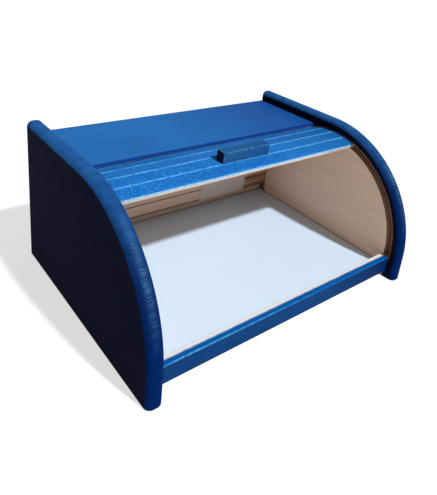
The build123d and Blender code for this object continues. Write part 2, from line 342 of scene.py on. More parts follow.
def turned(piece, angle):
    """Turns a piece about the lid's axis."""
    place = Matrix.Translation(AXIS)
    piece.matrix_world = place @ Matrix.Rotation(angle, 4, "X") @ place.inverted()
    settle(piece)
    return piece


def mirrored(piece, name):
    """The same piece on the other side of the bin."""
    twin = copy_of(piece, name)
    twin.scale.x = -1
    settle(twin)
    tidy_mesh(twin)
    return twin


def place(piece, node, body, slot, material):
    """Gives a finished piece its material and its place in the frame."""
    piece.data.materials.clear()
    piece.data.materials.append(material)
    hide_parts(*([node] if isinstance(node, str) else node))
    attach(piece, body)


# Materials

class Finish:
    """A material under construction: adds nodes and joins them up."""

    def __init__(self, name):
        self.material = bpy.data.materials.new(name)
        self.material.use_nodes = True
        self.nodes = self.material.node_tree.nodes
        self.links = self.material.node_tree.links
        self.shader = self.nodes["Principled BSDF"]
        self.place = self.add("ShaderNodeTexCoord").outputs["Object"]

    def add(self, kind, inputs=None, **settings):
        node = self.nodes.new(kind)
        for key, value in settings.items():
            setattr(node, key, value)
        for key, value in (inputs or {}).items():
            self.put(node.inputs[key], value)
        return node

    def put(self, socket, value):
        if isinstance(value, bpy.types.NodeSocket):
            self.links.new(value, socket)
        else:
            socket.default_value = value

    def set(self, **values):
        for key, value in values.items():
            self.put(self.shader.inputs[key.replace("_", " ")], value)

    def math(self, operation, a, b=0.0, c=0.0, clamp=False):
        node = self.add("ShaderNodeMath", {0: a, 1: b, 2: c}, operation=operation, use_clamp=clamp)
        return node.outputs[0]

    def times(self, first, second):
        return self.math("MULTIPLY", first, second)

    def opposite(self, share):
        """What is left of one."""
        return self.math("SUBTRACT", 1.0, share)

    def coordinates(self):
        split = self.add("ShaderNodeSeparateXYZ", {0: self.place})
        return split.outputs[0], split.outputs[1], split.outputs[2]

    def stretched(self, scale, vector=None):
        mapping = self.add("ShaderNodeMapping", {"Vector": vector or self.place, "Scale": scale})
        return mapping.outputs[0]

    def noise(self, scale, detail=3.0, roughness=0.55, distortion=0.0, vector=None):
        node = self.add("ShaderNodeTexNoise", {
            "Vector": vector or self.place, "Scale": scale, "Detail": detail,
            "Roughness": roughness, "Distortion": distortion})
        return node.outputs["Fac"]

    def spread(self, value, low, high, new_low=0.0, new_high=1.0):
        node = self.add("ShaderNodeMapRange", {
            "Value": value, "From Min": low, "From Max": high, "To Min": new_low, "To Max": new_high})
        return node.outputs[0]

    def blend(self, share, a, b, how="MIX"):
        node = self.add("ShaderNodeMix", data_type="RGBA", blend_type=how)
        for index, value in ((0, share), (6, a), (7, b)):
            if index and not isinstance(value, bpy.types.NodeSocket):
                value = (*value, 1.0)
            self.put(node.inputs[index], value)
        return node.outputs[2]

    def bump(self, height, strength, distance):
        node = self.add("ShaderNodeBump", {"Height": height, "Strength": strength, "Distance": distance})
        self.put(self.shader.inputs["Normal"], node.outputs[0])

    def streaks(self, scales, low, high, detail=3.0):
        """Noise drawn out by three scales, spread between two values."""
        return self.spread(self.noise(1.0, detail, 0.6, vector=self.stretched(scales)), low, high)

    def out_from_axis(self):
        """The distance from the lid's axis, and the angle about it."""
        _, y, z = self.coordinates()
        up = self.math("SUBTRACT", z, AXIS.z)
        back = self.math("SUBTRACT", y, AXIS.y)
        squares = self.math("ADD", self.math("MULTIPLY", up, up), self.math("MULTIPLY", back, back))
        return self.math("SQRT", squares), self.math("ARCTAN2", up, back)


def dimmed(value, factor):
    return tuple(channel * factor for channel in value)


def grain_scale(along, across, lengthwise):
    """The three scales of a pattern that is drawn out along one axis."""
    return tuple(lengthwise if letter == along else across for letter in "XYZ")


def grain(finish, along):
    """Fine fibres, broad growth rings and soft clouds of a board whose grain runs along one axis."""
    fibres = finish.noise(1.0, 4.0, 0.65, vector=finish.stretched(grain_scale(along, 620, 14)))
    rings = finish.noise(1.0, 3.0, 0.5, 0.6, vector=finish.stretched(grain_scale(along, 85, 4.5)))
    clouds = finish.noise(14.0, 2.0)
    return fibres, rings, clouds


def stained_over_bare(name, along, stain, coated, roughness=0.42, gloss=0.2, speckle=0.3):
    """Beech with a translucent stain where coated() says so, and bare elsewhere."""
    finish = Finish(name)
    fibres, rings, clouds = grain(finish, along)
    pores = finish.streaks(grain_scale(along, 1500, 120), 0.62, 0.72, 2.0)
    stained = stained_colour(finish, stain, fibres, rings, clouds, pores, speckle)
    bare = bare_colour(finish, fibres, rings, clouds, pores)
    stain_share, stained, bare = coated(finish, stained, bare)
    finish.set(
        Base_Color=finish.blend(stain_share, bare, stained),
        Roughness=finish.math("ADD", finish.spread(fibres, 0.3, 0.7, roughness - 0.07, roughness + 0.1),
                              finish.times(finish.opposite(stain_share), 0.22)),
    )
    height = finish.math("ADD", finish.times(fibres, 0.6), finish.times(pores, -0.5))
    finish.bump(height, 0.22, 0.12 * MM)
    finish.shader.inputs["Specular IOR Level"].default_value = gloss
    return finish.material


def stained_colour(finish, stain, fibres, rings, clouds, pores, speckle):
    """A stain that takes unevenly: deeper in the soft rings and the pores, thin on hard flecks."""
    deep = finish.blend(finish.spread(rings, 0.35, 0.7), dimmed(stain, 0.8), dimmed(stain, 1.18))
    streaked = finish.blend(finish.spread(fibres, 0.3, 0.75), dimmed(stain, 0.7), dimmed(stain, 1.35))
    stained = finish.blend(0.45, deep, streaked)
    stained = finish.blend(finish.spread(clouds, 0.3, 0.75, 0.0, 0.35), stained, dimmed(stain, 1.4))
    stained = finish.blend(finish.times(pores, 0.45), stained, dimmed(stain, 0.35))
    flecks = finish.spread(finish.noise(750.0, 3.0, 0.75), 0.52, 0.69)
    return finish.blend(finish.times(flecks, speckle), stained, colours().rubbed_stain_and_highlight)


def bare_colour(finish, fibres, rings, clouds, pores):
    wood = colours().bare_wood
    base = finish.blend(finish.spread(rings, 0.3, 0.72), dimmed(wood, 0.9), dimmed(wood, 1.08))
    base = finish.blend(finish.spread(fibres, 0.3, 0.8, 0.0, 0.3), base, dimmed(wood, 0.84))
    warmer = (wood[0], wood[1] * 0.95, wood[2] * 0.85)
    base = finish.blend(finish.spread(clouds, 0.35, 0.7, 0.0, 0.25), base, warmer)
    return finish.blend(finish.times(pores, 0.3), base, dimmed(wood, 0.5))


def step(finish, value, edge, width=0.4 * MM):
    """0 below an edge and 1 above it."""
    return finish.spread(value, edge - width, edge + width)


def side_panel_wood():
    """Near-black broad faces, partly stain and partly painted shade; brighter rounded edges with streaks across
    them and a painted highlight half way up the curve; bare inside the lid's circle, with the groove painted dark,
    partly painted shade.
    """
    low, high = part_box("right_side")
    middle, half = (low.x + high.x) / 2, (high.x - low.x) / 2
    groove_in = SLAT_INNER - sizes().slat_play
    groove_out = groove_in + sizes().groove_width
    floor_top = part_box("floor_panel")[1].z

    def coated(finish, stained, bare):
        x, y, z = finish.coordinates()
        out, angle = finish.out_from_axis()
        across = finish.math("ABSOLUTE", finish.math("SUBTRACT", finish.math("ABSOLUTE", x), middle))
        # the front edge is end grain and drinks more stain than the top edge
        foot = finish.times(finish.opposite(step(finish, z, AXIS.z)),
                           finish.opposite(step(finish, y, AXIS.y)))
        end_grain = finish.math("MAXIMUM", finish.spread(angle, 1.6, 2.5), foot)
        edge = finish.blend(end_grain, colours().edge_stain, colours().side_stain)
        # hard rays run across the edge; half way up the curve the rays brighten and a streaky painted highlight
        # runs along the edge's ridge
        highlight_zone = finish.opposite(finish.spread(finish.math("ABSOLUTE", finish.math(
            "SUBTRACT", angle, 2.45)), 0.1, 0.55))
        rays = finish.streaks((70, 2600, 2600), 0.45, 0.72, 3.0)
        share = finish.times(rays, finish.math("ADD", 0.02, finish.times(highlight_zone, 0.06)))
        edge = finish.blend(share, edge, colours().ray_stain_and_highlight)
        ridge = finish.opposite(finish.spread(across, half * 0.1, half * 0.6))
        painted_highlight = finish.times(highlight_zone, ridge)
        edge = finish.blend(finish.times(painted_highlight, finish.spread(rays, 0.0, 1.0, 0.0, 0.55)),
                            edge, colours().ray_stain_and_highlight)
        bands = finish.streaks((10, 90, 90), 0.35, 0.7)
        edge = finish.blend(finish.times(bands, 0.35), edge, dimmed(colours().side_stain, 0.5))
        # painted shade: the broad faces take the near-black face stain, partly stain and partly painted shade
        face = finish.blend(0.05, colours().face_stain_and_shade, stained)
        on_face = finish.spread(across, half - 0.3 * MM, half - 0.03 * MM)
        stained = finish.blend(on_face, edge, face)

        wander = finish.times(finish.math("SUBTRACT", finish.noise(160.0), 0.5), 1.2 * MM)
        inside = finish.opposite(step(finish, finish.math("ABSOLUTE", x),
                                                   low.x + sizes().groove_depth + 1 * MM))
        within = finish.opposite(step(finish, finish.math("ADD", out, wander), groove_out + 0.2 * MM))
        bare_share = finish.times(inside, within)
        in_groove = finish.times(bare_share, step(finish, out, groove_in - 0.1 * MM, 0.15 * MM))
        corner = finish.times(step(finish, z, floor_top - 1 * MM), finish.math(
            "SUBTRACT", 1.0, finish.spread(z, floor_top + 0.5 * MM, floor_top + 1.1 * MM)))
        bare = finish.blend(finish.times(corner, 0.85), bare, dimmed(colours().dark_wood_and_shade, 0.35))
        # the groove is painted dark brown, partly the wood's own colour and partly painted shade; a near-black
        # painted shade line runs along its inner rim
        groove_colour_and_shade = finish.blend(0.92, bare, colours().dark_wood_and_shade)
        rim = finish.times(in_groove, finish.opposite(step(finish, out, groove_in + 0.7 * MM)))
        groove_colour_and_shade = finish.blend(finish.times(rim, 0.9), groove_colour_and_shade, dimmed(colours().dark_wood_and_shade, 0.12))
        return finish.opposite(bare_share), stained, finish.blend(in_groove, bare, groove_colour_and_shade)

    return stained_over_bare("side_panel_wood", "Y", colours().side_stain, coated, 0.45, 0.002, 0.1)


def board_wood():
    """Stained above and in front, deeper towards the right, bare below."""
    low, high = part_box("top_board")
    cove = SLAT_OUTER + sizes().cove_gap

    def coated(finish, stained, bare):
        x, y, z = finish.coordinates()
        deeper = finish.blend(0.7, stained, colours().deep_stain)
        patches = finish.times(finish.noise(18.0, 3.0), 70 * MM)
        stained = finish.blend(finish.spread(finish.math("ADD", x, patches), 0.0, high.x + 30 * MM, 0.0, 0.95),
                               stained, deeper)
        front = finish.opposite(step(finish, y, low.y + 0.6 * MM, 0.3 * MM))
        stained = finish.blend(finish.times(front, 0.8), stained, colours().deep_stain)
        behind = step(finish, y, high.y - 1.2 * MM, 0.5 * MM)
        stained = finish.blend(finish.times(behind, 0.5), stained, dimmed(colours().deep_stain, 0.6))
        above = step(finish, z, low.z + 0.4 * MM, 0.1 * MM)
        outside = step(finish, finish.out_from_axis()[0], cove + 0.4 * MM, 0.2 * MM)
        return finish.times(above, outside), stained, bare

    return stained_over_bare("top_board_wood", "X", colours().board_stain, coated, 0.5, 0.1, 0.07)


def rail_wood():
    """Stained in front and over the edge that the closed lid covers, bare behind it."""
    low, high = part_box("front_rail")
    edge = AXIS.y - SLAT_INNER - 1 * MM

    def coated(finish, stained, bare):
        x, y, z = finish.coordinates()
        # painted shade: the front darkens towards its right end, beside the right side panel
        rightwards = finish.spread(x, 60 * MM, high.x, 0.0, 0.75)
        stained = finish.blend(rightwards, stained, dimmed(colours().side_stain, 0.6))
        top = step(finish, z, high.z - 1.2 * MM, 0.6 * MM)
        stained = finish.blend(finish.times(top, 0.7), stained, dimmed(colours().slat_stain, 0.85))
        # painted highlight: a pale streaky line along the rail's top front edge, fading towards the right
        corner = finish.times(top, finish.opposite(step(finish, y, low.y + 0.9 * MM, 0.5 * MM)))
        corner = finish.times(corner, finish.streaks((200, 500, 500), 0.35, 0.6))
        corner = finish.times(corner, finish.spread(x, -120 * MM, 60 * MM, 1.0, 0.15))
        stained = finish.blend(finish.times(corner, 0.55), stained, colours().rubbed_stain_and_highlight)
        wander = finish.times(finish.math("SUBTRACT", finish.noise(140.0), 0.5), 1.6 * MM)
        soaked = finish.spread(finish.math("ADD", y, wander), edge - 1.3 * MM, edge + 0.9 * MM)
        # the bare strip is blended to pale grey: partly wood gone grey, partly painted light
        return finish.opposite(soaked), stained, finish.blend(0.85, bare, colours().pale_rail_strip)

    return stained_over_bare("front_rail_wood", "X", colours().rail_stain, coated, 0.36, 0.006, 0.12)


def back_wood():
    """Stained behind, bare inside, with a darker line where it meets the floor panel."""
    floor_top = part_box("floor_panel")[1].z
    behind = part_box("back_panel")[1].y

    def coated(finish, stained, bare):
        _, y, z = finish.coordinates()
        corner = finish.opposite(finish.spread(z, floor_top + 0.6 * MM, floor_top + 1.2 * MM))
        bare = finish.blend(finish.times(corner, 0.8), bare, dimmed(colours().dark_wood_and_shade, 0.35))
        return step(finish, y, behind - 0.2 * MM, 0.1 * MM), stained, bare

    return stained_over_bare("back_wood", "X", colours().side_stain, coated)


def slat_wood():
    """Each slat is glued up from short staves, stained outside with a painted highlight along its edges, bare
    inside with a painted shadow along the tail's lower end.
    """
    stave_length = 130 * MM

    def coated(finish, stained, bare):
        x = finish.coordinates()[0]
        out, angle = finish.out_from_axis()
        turns = finish.math("DIVIDE", finish.math("SUBTRACT", angle, LID_REARMOST), PITCH)
        number = finish.math("FLOOR", turns)
        across = finish.math("SUBTRACT", turns, number)
        shift = finish.add("ShaderNodeTexWhiteNoise", {"W": number}, noise_dimensions="1D").outputs[0]
        stave = finish.math("FLOOR", finish.math("ADD", finish.math("DIVIDE", x, stave_length),
                                                 finish.times(shift, 5.0)))
        pair = finish.add("ShaderNodeCombineXYZ", {0: number, 1: stave}).outputs[0]
        luck = finish.add("ShaderNodeTexWhiteNoise", {"Vector": pair}, noise_dimensions="2D").outputs[0]
        darker = finish.spread(luck, 0.0, 1.0, 0.0, 0.35)
        stained = finish.blend(darker, stained, dimmed(colours().slat_stain, 0.6))
        rightwards = finish.spread(x, 20 * MM, 180 * MM, 0.0, 0.8)
        stained = finish.blend(rightwards, stained, dimmed(colours().board_stain, 0.8))
        bare = finish.blend(finish.spread(luck, 0.0, 1.0, 0.0, 0.45), bare, dimmed(colours().bare_wood, 0.7))
        brown = finish.times(finish.spread(x, 124 * MM, 134 * MM),
                            finish.streaks((9, 260, 260), 0.3, 0.6, 2.0))
        bare = finish.blend(finish.times(brown, 0.9), bare, colours().orange_wood)
        # dark joints between the slats, and a painted shadow along the tail's lower end for the gap beneath it
        joint_and_gap_shadow = finish.spread(finish.math("ABSOLUTE", finish.math("SUBTRACT", across, 0.5)), 0.447, 0.468)
        tail = finish.opposite(finish.spread(turns, 0.10, 0.13))
        joint_and_gap_shadow = finish.math("MAXIMUM", joint_and_gap_shadow, tail)
        bare = finish.blend(finish.times(joint_and_gap_shadow, 0.9), bare, dimmed(colours().dark_wood_and_shade, 0.2))
        # the rims of a slat get a streaky painted highlight along the V between slats, and the lower edge of the
        # nose gets painted glints
        rim = finish.math("ABSOLUTE", finish.math("SUBTRACT", across, 0.5))
        patchy = finish.streaks((220, 420, 420), 0.3, 0.62)
        rubbed = finish.times(finish.spread(rim, 0.41, 0.455, 0.0, 0.6), patchy)
        stained = finish.blend(rubbed, stained, colours().rubbed_stain_and_highlight)
        nose = finish.spread(finish.math("SUBTRACT", angle, FRONT_SLAT_START), PITCH * 0.76, PITCH * 0.84)
        brow = SLAT_OUTER - sizes().nose_height
        low_rim = finish.opposite(finish.spread(out, brow + 1.3 * MM, brow + 3.0 * MM))
        sparkle = finish.spread(finish.noise(700.0, 2.0, 0.8), 0.36, 0.58, 0.2, 1.0)
        rubbed = finish.times(finish.times(nose, low_rim), sparkle)
        stained = finish.blend(rubbed, stained, colours().nose_glint)
        return step(finish, out, SLAT_OUTER - sizes().nose_height, 0.3 * MM), stained, bare

    return stained_over_bare("slat_wood", "X", colours().slat_stain, coated, 0.34, 0.03, 0.75)


def handle_wood():
    """A deeper stain, streaked along the block; its edges paler, partly wear and partly painted highlight; its
    ends near-black, partly end grain and partly painted shade.
    """
    low, high = lying_on_top("handle", 2)
    lean = slat_faces(2) - math.pi / 2

    def coated(finish, stained, bare):
        turning = finish.add("ShaderNodeVectorRotate", {"Vector": finish.place, "Center": AXIS, "Angle": -lean},
                             rotation_type="X_AXIS").outputs[0]
        near = []
        for axis in range(3):
            centre, half = (low[axis] + high[axis]) / 2, (high[axis] - low[axis]) / 2
            coordinate = finish.add("ShaderNodeSeparateXYZ", {0: turning}).outputs[axis]
            away = finish.math("ABSOLUTE", finish.math("SUBTRACT", coordinate, centre))
            near.append(finish.spread(away, half - 1.1 * MM, half - 0.4 * MM))
        both = finish.math("GREATER_THAN", finish.math("ADD", finish.math("ADD", near[0], near[1]), near[2]), 1.45)
        # the edges are paler: partly wear, partly a painted highlight
        patchy = finish.streaks((160, 500, 500), 0.38, 0.6)
        stained = finish.blend(finish.times(finish.times(both, patchy), 0.55),
                               stained, colours().rubbed_stain_and_highlight)
        x = finish.coordinates()[0]
        stained = finish.blend(finish.spread(x, low.x, high.x, 0.0, 0.4), stained, colours().deep_stain)
        # painted shade: both ends turn near-black, partly end grain drinking stain and partly painted shade
        away = finish.math("ABSOLUTE", finish.math("SUBTRACT", x, (low.x + high.x) / 2))
        end = finish.spread(away, (high.x - low.x) / 2 - 0.3 * MM, (high.x - low.x) / 2 - 0.05 * MM)
        return 1.0, finish.blend(finish.times(end, 0.9), stained, colours().end_stain_and_shade), bare

    return stained_over_bare("handle_wood", "X", colours().handle_stain, coated, 0.42, 0.03, 0.2)


def bare_wood():
    """Unstained beech for what is hidden or inside."""
    def coated(finish, stained, bare):
        return 0.0, stained, bare

    return stained_over_bare("bare_wood", "X", colours().side_stain, coated)


def white_face():
    """The floor panel's smooth white face, with a little dust and a few faint scuffs."""
    finish = Finish("white_face")
    white = colours().floor_white
    clouds = finish.noise(9.0, 4.0)
    scuffs = finish.spread(finish.noise(1.0, 2.0, vector=finish.stretched((40, 300, 300))), 0.68, 0.8)
    specks = finish.spread(finish.noise(420.0, 1.0), 0.76, 0.8)
    base = finish.blend(finish.spread(clouds, 0.3, 0.7, 0.0, 0.5), white, dimmed(white, 0.95))
    base = finish.blend(finish.times(scuffs, 0.12), base, dimmed(white, 0.7))
    base = finish.blend(finish.times(specks, 0.25), base, dimmed(white, 0.6))
    finish.set(Base_Color=base, Roughness=finish.spread(clouds, 0.3, 0.7, 0.34, 0.46))
    finish.bump(finish.noise(700.0, 2.0), 0.05, 0.05 * MM)
    return finish.material


def tape_weave():
    """Plain canvas: two sets of threads over and under each other, stained here and there with glue."""
    finish = Finish("tape_weave")
    cloth = colours().tape_cloth
    uv = finish.add("ShaderNodeTexCoord").outputs["UV"]
    threads = [
        finish.add("ShaderNodeTexWave", {"Vector": uv, "Scale": 150.0, "Distortion": 0.6, "Detail": 1.0},
                   bands_direction=way).outputs["Fac"]
        for way in ("X", "Y")
    ]
    weave = finish.times(threads[0], threads[1])
    glue = finish.spread(finish.noise(60.0, 4.0), 0.45, 0.7)
    base = finish.blend(weave, dimmed(cloth, 0.75), dimmed(cloth, 1.08))
    base = finish.blend(finish.times(glue, 0.3), base, (cloth[0] * 0.8, cloth[1] * 0.68, cloth[2] * 0.5))
    finish.set(Base_Color=base, Roughness=finish.spread(weave, 0.0, 1.0, 0.95, 0.8))
    finish.bump(weave, 0.5, 0.2 * MM)
    return finish.material


def plated_steel():
    finish = Finish("plated_steel")
    metal = colours().screw_metal
    wear = finish.noise(900.0, 3.0)
    finish.set(Base_Color=finish.blend(wear, dimmed(metal, 0.7), metal),
               Roughness=finish.spread(wear, 0.3, 0.7, 0.25, 0.45))
    finish.shader.inputs["Metallic"].default_value = 1.0
    finish.bump(wear, 0.1, 0.05 * MM)
    return finish.material


def ground_paper():
    finish = Finish("ground_paper")
    pale = colours().ground
    tone = finish.noise(3.0, 3.0)
    finish.set(Base_Color=finish.blend(tone, dimmed(pale, 0.985), pale),
               Roughness=finish.spread(tone, 0.3, 0.7, 0.85, 0.95))
    finish.shader.inputs["Specular IOR Level"].default_value = 0.0
    finish.shader.inputs["Emission Color"].default_value = (1, 1, 1, 1)
    finish.shader.inputs["Emission Strength"].default_value = GROUND_GLOW
    return finish.material


# The pieces

def swept(piece, start, angle, steps):
    """Turns a thin profile to a start angle about the lid's axis and sweeps it on from there."""
    turned(piece, start)
    edit(piece, "FACE", lambda face: True)
    bpy.ops.mesh.spin(steps=steps, angle=-angle, center=AXIS, axis=(1, 0, 0))
    bmesh.update_edit_mesh(piece.data)
    leave_edit()
    halfway = (start + angle / 2) % math.tau
    if not any(abs(polar(v.co)[1] % math.tau - halfway) < 0.6 * angle / steps for v in piece.data.vertices):
        raise RuntimeError(f"{piece.name} was swept the wrong way")


def groove_cutter():
    """A bar swept about the lid's axis, from behind the tail to the front rail's top."""
    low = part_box("right_side")[0]
    inner = SLAT_INNER - sizes().slat_play
    outer = inner + sizes().groove_width
    start = LID_REARMOST - math.radians(0.2)
    rail_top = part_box("front_rail")[1].z
    end = math.pi + math.asin((AXIS.z - rail_top) / ((inner + outer) / 2))
    deselect()
    bpy.ops.mesh.primitive_plane_add(size=1, location=(low.x, AXIS.y + (inner + outer) / 2, AXIS.z))
    cutter = bpy.context.active_object
    cutter.scale = (2 * sizes().groove_depth, outer - inner, 1)
    settle(cutter)
    swept(cutter, start, end - start, 120)
    tidy_mesh(cutter)
    return cutter


def widened(node, gap):
    """A block a little larger than a thin panel's node, to cut its groove."""
    low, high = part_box(node)
    room = Vector((gap, 0, gap)) if node == "back_panel" else Vector((gap, gap, 0))
    return block("cutter", low - room, high + room)


def dowel_cutters():
    """Rods for the dowels' holes, a little longer than the dowels."""
    holes = []
    for node in ("front_rail_dowels", "rear_rail_dowels", "top_board_dowels"):
        low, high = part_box(node)
        radius = (high.z - low.z) / 2
        near = min(abs(v.co.x) for v in frame["nodes"][node].data.vertices) - 1 * MM
        far = high.x + 1 * MM
        for y in sorted({round(low.y + radius, 5), round(high.y - radius, 5)}):
            for start, end in ((near, far), (-far, -near)):
                holes.append(rod("cutter", radius + 0.03 * MM, start, end, y, low.z + radius))
    return holes


class BREADBIN_OT_side_panels(bpy.types.Operator):
    """Adds both side panels: a rounded corner, rounded edges, the lid's groove and the hidden grooves"""

    bl_idname = "breadbin.side_panels"
    bl_label = "Side panels"

    def execute(self, context):
        low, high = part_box("right_side")
        panel = block("right_side_panel", low, high)
        tiny = 0.1 * MM
        round_edges(panel, lambda edge: all(v.co.y < low.y + tiny and v.co.z > high.z - tiny for v in edge.verts),
                    sizes().corner_radius, 64)

        def is_shown(edge):
            ends = [v.co for v in edge.verts]
            if abs(ends[0].x - ends[1].x) > tiny:
                return False
            at_bottom = all(p.z < low.z + tiny for p in ends)
            at_back = all(p.y > high.y - tiny for p in ends)
            return not at_bottom and not at_back

        round_edges(panel, is_shown, sizes().edge_rounding, 8)
        soften(panel, sizes().softening, 2, 50)
        cut(panel, groove_cutter(), widened("floor_panel", 0.2 * MM), widened("back_panel", 0.2 * MM),
            *dowel_cutters())
        flat_shaded(panel, 50)
        wood = side_panel_wood()
        left = mirrored(panel, "left_side_panel")
        flat_shaded(left, 50)
        place(panel, "right_side", CARCASS, "stained_wood", wood)
        place(left, "left_side", CARCASS, "stained_wood", wood)
        return {"FINISHED"}


class BREADBIN_OT_top_board(bpy.types.Operator):
    """Adds the fixed top board, hollowed under its front edge for the lid"""

    bl_idname = "breadbin.top_board"
    bl_label = "Top board"

    def execute(self, context):
        low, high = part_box("top_board")
        board = block("fixed_top_board", low, high)
        drum = rod("cutter", SLAT_OUTER + sizes().cove_gap, low.x - 5 * MM, high.x + 5 * MM, AXIS.y, AXIS.z, 360)
        cut(board, drum)
        soften(board, sizes().softening * 1.4, 3)
        cut(board, widened("back_panel", 0.2 * MM), *dowel_cutters())
        flat_shaded(board, 40)
        place(board, "top_board", CARCASS, "stained_wood", board_wood())
        return {"FINISHED"}


class BREADBIN_OT_rails(bpy.types.Operator):
    """Adds the front rail and the rear rail"""

    bl_idname = "breadbin.rails"
    bl_label = "Rails"

    def execute(self, context):
        rail = block("front_rail_bar", *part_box("front_rail"))
        soften(rail, sizes().softening * 2, 3)
        cut(rail, widened("floor_panel", 0.2 * MM), *dowel_cutters())
        flat_shaded(rail, 40)
        place(rail, "front_rail", CARCASS, "stained_wood", rail_wood())
        rear = block("rear_rail_bar", *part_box("rear_rail"))
        soften(rear, sizes().softening, 2)
        cut(rear, widened("floor_panel", 0.2 * MM), widened("back_panel", 0.2 * MM), *dowel_cutters())
        flat_shaded(rear, 40)
        place(rear, "rear_rail", CARCASS, "raw_wood", back_wood())
        return {"FINISHED"}


class BREADBIN_OT_thin_panels(bpy.types.Operator):
    """Adds the floor panel and the back panel, held in grooves all round"""

    bl_idname = "breadbin.thin_panels"
    bl_label = "Floor and back"

    def execute(self, context):
        floor = block("white_floor_panel", *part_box("floor_panel"))
        soften(floor, sizes().softening * 0.6, 2)
        place(floor, "floor_panel", CARCASS, "white_board", white_face())
        back = block("thin_back_panel", *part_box("back_panel"))
        soften(back, sizes().softening * 0.6, 2)
        place(back, "back_panel", CARCASS, "raw_wood", back_wood())
        return {"FINISHED"}


def upright_slat(name, reach_forward, reach_back):
    """A slat lying on top of the lid's circle, its forward edge towards -Y, before its edges are cut."""
    low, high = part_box(slat_node(2))
    slat = block(name, (low.x, AXIS.y - reach_forward, AXIS.z + SLAT_INNER),
                 (high.x, AXIS.y + reach_back, AXIS.z + SLAT_OUTER))
    return slat


def along_slat(edge):
    return abs(edge.verts[0].co.x - edge.verts[1].co.x) > 100 * MM


def common_slat():
    """The slat that is repeated round the lid: tapered sides and a chamfer on both outer edges."""
    outer_half = SLAT_OUTER * math.tan(PITCH / 2) - SLAT_HALF_GAP
    inner_half = SLAT_INNER * math.tan(PITCH / 2) - SLAT_HALF_GAP
    slat = upright_slat("common_slat", outer_half, outer_half)
    middle_z = AXIS.z + (SLAT_INNER + SLAT_OUTER) / 2
    edit(slat, "VERT", lambda vertex: vertex.co.z < middle_z)
    bpy.ops.transform.resize(value=(1, inner_half / outer_half, 1),
                             center_override=(0, AXIS.y, AXIS.z + SLAT_INNER))
    leave_edit()
    edit(slat, "EDGE", lambda edge: along_slat(edge) and edge.verts[0].co.z > middle_z)
    bpy.ops.mesh.bevel(offset=sizes().slat_chamfer, segments=1, affect="EDGES")
    leave_edit()
    return slat


def front_slat():
    """The front slat: a raw lower edge that meets the rail when the lid is down, and a bevelled nose."""
    low = lying_on_top(slat_node(1), 1)[0]
    tiny = 0.01 * MM
    outer_half = SLAT_OUTER * math.tan(PITCH / 2) - SLAT_HALF_GAP
    inner_half = SLAT_INNER * math.tan(PITCH / 2) - SLAT_HALF_GAP
    slat = upright_slat("front_slat", AXIS.y - low.y, outer_half)
    edit(slat, "VERT", lambda vertex: vertex.co.z < AXIS.z + SLAT_INNER + tiny and vertex.co.y > AXIS.y)
    bpy.ops.transform.translate(value=(0, inner_half - outer_half, 0))
    leave_edit()
    edit(slat, "FACE", lambda face: True)
    bpy.ops.mesh.bisect(plane_co=(0, 0, AXIS.z + SLAT_OUTER - sizes().nose_height), plane_no=(0, 0, 1))
    leave_edit()
    top = AXIS.z + SLAT_OUTER - tiny
    edit(slat, "VERT", lambda vertex: vertex.co.z > top and vertex.co.y < AXIS.y)
    bpy.ops.transform.translate(value=(0, sizes().nose_length, 0))
    leave_edit()
    edit(slat, "EDGE", lambda edge: along_slat(edge) and all(
        v.co.z > top and v.co.y > AXIS.y for v in edge.verts))
    bpy.ops.mesh.bevel(offset=sizes().slat_chamfer, segments=1, affect="EDGES")
    leave_edit()
    return turned(slat, slat_faces(1) - math.pi / 2)


class BREADBIN_OT_slats(bpy.types.Operator):
    """Adds the lid's slats round their circle"""

    bl_idname = "breadbin.slats"
    bl_label = "Slats"

    def execute(self, context):
        wood = slat_wood()
        common = common_slat()
        soften(common, sizes().softening * 0.5, 2, 30)
        for number in range(2, SLAT_COUNT + 1):
            slat = turned(copy_of(common, f"lid_slat_{number:02d}"), slat_faces(number) - math.pi / 2)
            if number == 2:
                cut(slat, *screw_cutters())
            flat_shaded(slat, 50)
            place(slat, slat_node(number), LID, "stained_wood", wood)
        bpy.data.objects.remove(common)
        front = front_slat()
        soften(front, sizes().softening * 0.5, 2, 15)
        front.name = front.data.name = "lid_slat_01_front"
        place(front, slat_node(1), LID, "stained_wood", wood)
        return {"FINISHED"}


def unrolled(piece, low_x):
    """Gives a tape its own map: across in X and along round the lid, both in metres."""
    layer = piece.data.uv_layers.new(name="unrolled")
    for loop in piece.data.loops:
        point = piece.data.vertices[loop.vertex_index].co
        angle = polar(point)[1]
        layer.data[loop.index].uv = (point.x - low_x, (angle - LID_REARMOST) * SLAT_INNER)


